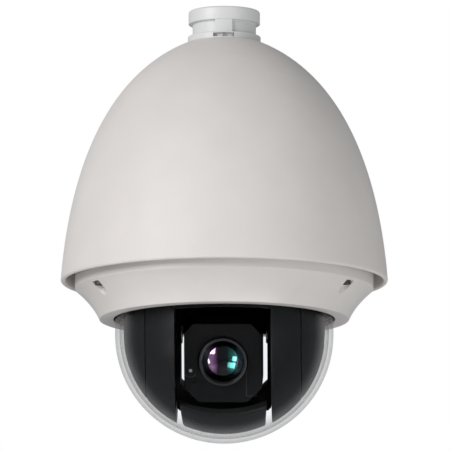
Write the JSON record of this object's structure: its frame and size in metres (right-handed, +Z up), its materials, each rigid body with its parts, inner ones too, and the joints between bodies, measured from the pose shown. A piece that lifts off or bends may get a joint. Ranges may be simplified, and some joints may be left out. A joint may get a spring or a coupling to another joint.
{
  "type": "pan tilt zoom dome camera",
  "caption": "Pendant outdoor dome camera: egg-shaped sun shield on a pipe-size neck, flared lower cover, clear dome, and a panning and tilting zoom camera head inside.",
  "frame": {"origin": "centre of the top face of the mounting neck, at the mouth of its cable passage", "axes": "+Z up along the pan axis, -Y the way the camera looks at rest, +X to the right seen from the front"},
  "size_m": [0.22, 0.22, 0.2937],
  "materials": {
    "neck_paint": "fine satin powder coat",
    "shell_paint": "satin moulded plastic",
    "cover_paint": "fine satin powder coat",
    "clear_dome": "clear polycarbonate",
    "cast_metal": "as cast",
    "rubber": "matt",
    "screw_steel": "plain",
    "pulley_metal": "machined",
    "motor_steel": "plain",
    "shroud_plastic": "fine satin grain",
    "block_plastic": "fine matt grain",
    "circuit_board": "solder mask",
    "component": "moulded",
    "barrel_metal": "black anodised",
    "lens_glass": "coated",
    "filter_glass": "coated",
    "brass": "machined"
  },
  "bodies": {
    "housing": {"mount_neck": "neck_paint", "neck_nut": "screw_steel", "shield_spacer": "rubber", "cable_gland": "rubber", "lock_screws": "screw_steel", "sun_shield": "shell_paint", "inner_housing": "cast_metal", "housing_gasket": "rubber", "lower_cover": "cover_paint", "cover_screws": "screw_steel", "dome_bubble": "clear_dome", "dome_gasket": "rubber", "dome_clamp_ring": "shroud_plastic", "clamp_screws": "screw_steel", "base_plate": "cast_metal", "base_screws": "screw_steel", "board_standoffs": "screw_steel", "power_board": "circuit_board", "capacitors": "component", "main_board": "circuit_board", "main_chips": "component", "fan_frame": "block_plastic", "heater": "cast_metal", "pan_bearing_outer": "screw_steel", "pan_bearing_balls": "screw_steel", "pan_motor": "motor_steel", "pan_belt": "rubber", "slip_ring_body": "block_plastic"},
    "pan_head": {"turntable": "barrel_metal", "pan_bearing_inner": "screw_steel", "pan_pulley": "pulley_metal", "slip_ring_rotor": "brass", "yoke_left": "barrel_metal", "yoke_right": "barrel_metal", "shroud_frame": "shroud_plastic", "cheek_left": "shroud_plastic", "cheek_right": "shroud_plastic", "side_cap_left": "shroud_plastic", "side_cap_right": "shroud_plastic", "tilt_bushings": "brass", "tilt_motor": "motor_steel", "tilt_belt": "rubber"},
    "camera_head": {"cradle": "block_plastic", "trunnions": "screw_steel", "tilt_pulley": "pulley_metal", "face_plate": "block_plastic", "camera_case": "block_plastic", "rear_case": "block_plastic", "chin_cover": "shroud_plastic", "lens_barrel": "barrel_metal", "front_lens": "lens_glass", "guide_rods": "screw_steel", "sensor_board": "circuit_board", "filter_guide": "block_plastic"},
    "pan_motor_rotor": {"pan_motor_pulley": "pulley_metal"},
    "tilt_motor_rotor": {"tilt_motor_pulley": "pulley_metal"},
    "fan": {"fan_rotor": "block_plastic"},
    "zoom_group": {"zoom_cell": "barrel_metal"},
    "focus_group": {"focus_cell": "barrel_metal"},
    "filter_slide": {"ir_cut_filter": "filter_glass"}
  },
  "joints": [
    {"name": "pan", "type": "hinge", "parent": "housing", "child": "pan_head", "pos_m": [0, 0, -0.2203], "axis": [0, 0, 1], "continuous": true},
    {"name": "tilt", "type": "hinge", "parent": "pan_head", "child": "camera_head", "pos_m": [0, 0, -0.2203], "axis": [1, 0, 0], "range_deg": [-21, 74]},
    {"name": "pan_motor_spin", "type": "hinge", "parent": "housing", "child": "pan_motor_rotor", "pos_m": [0, 0.056, -0.16], "axis": [0, 0, 1], "continuous": true},
    {"name": "tilt_motor_spin", "type": "hinge", "parent": "pan_head", "child": "tilt_motor_rotor", "pos_m": [0.04, 0, -0.1963], "axis": [1, 0, 0], "range_deg": [-57, 198]},
    {"name": "fan_spin", "type": "hinge", "parent": "housing", "child": "fan", "pos_m": [-0.06, 0, -0.15], "axis": [0, 0, 1], "continuous": true},
    {"name": "zoom_slide", "type": "slide", "parent": "camera_head", "child": "zoom_group", "axis": [0, 0.9613, 0.2756], "range_m": [0, 0.008]},
    {"name": "focus_slide", "type": "slide", "parent": "camera_head", "child": "focus_group", "axis": [0, 0.9613, 0.2756], "range_m": [-0.002, 0.002]},
    {"name": "filter_slide_x", "type": "slide", "parent": "camera_head", "child": "filter_slide", "axis": [1, 0, 0], "range_m": [-0.0095, 0]}
  ],
  "couplings": [
    {"joint": "pan_motor_spin", "follows": "pan", "ratio": 4},
    {"joint": "tilt_motor_spin", "follows": "tilt", "ratio": 2.6667}
  ]
}
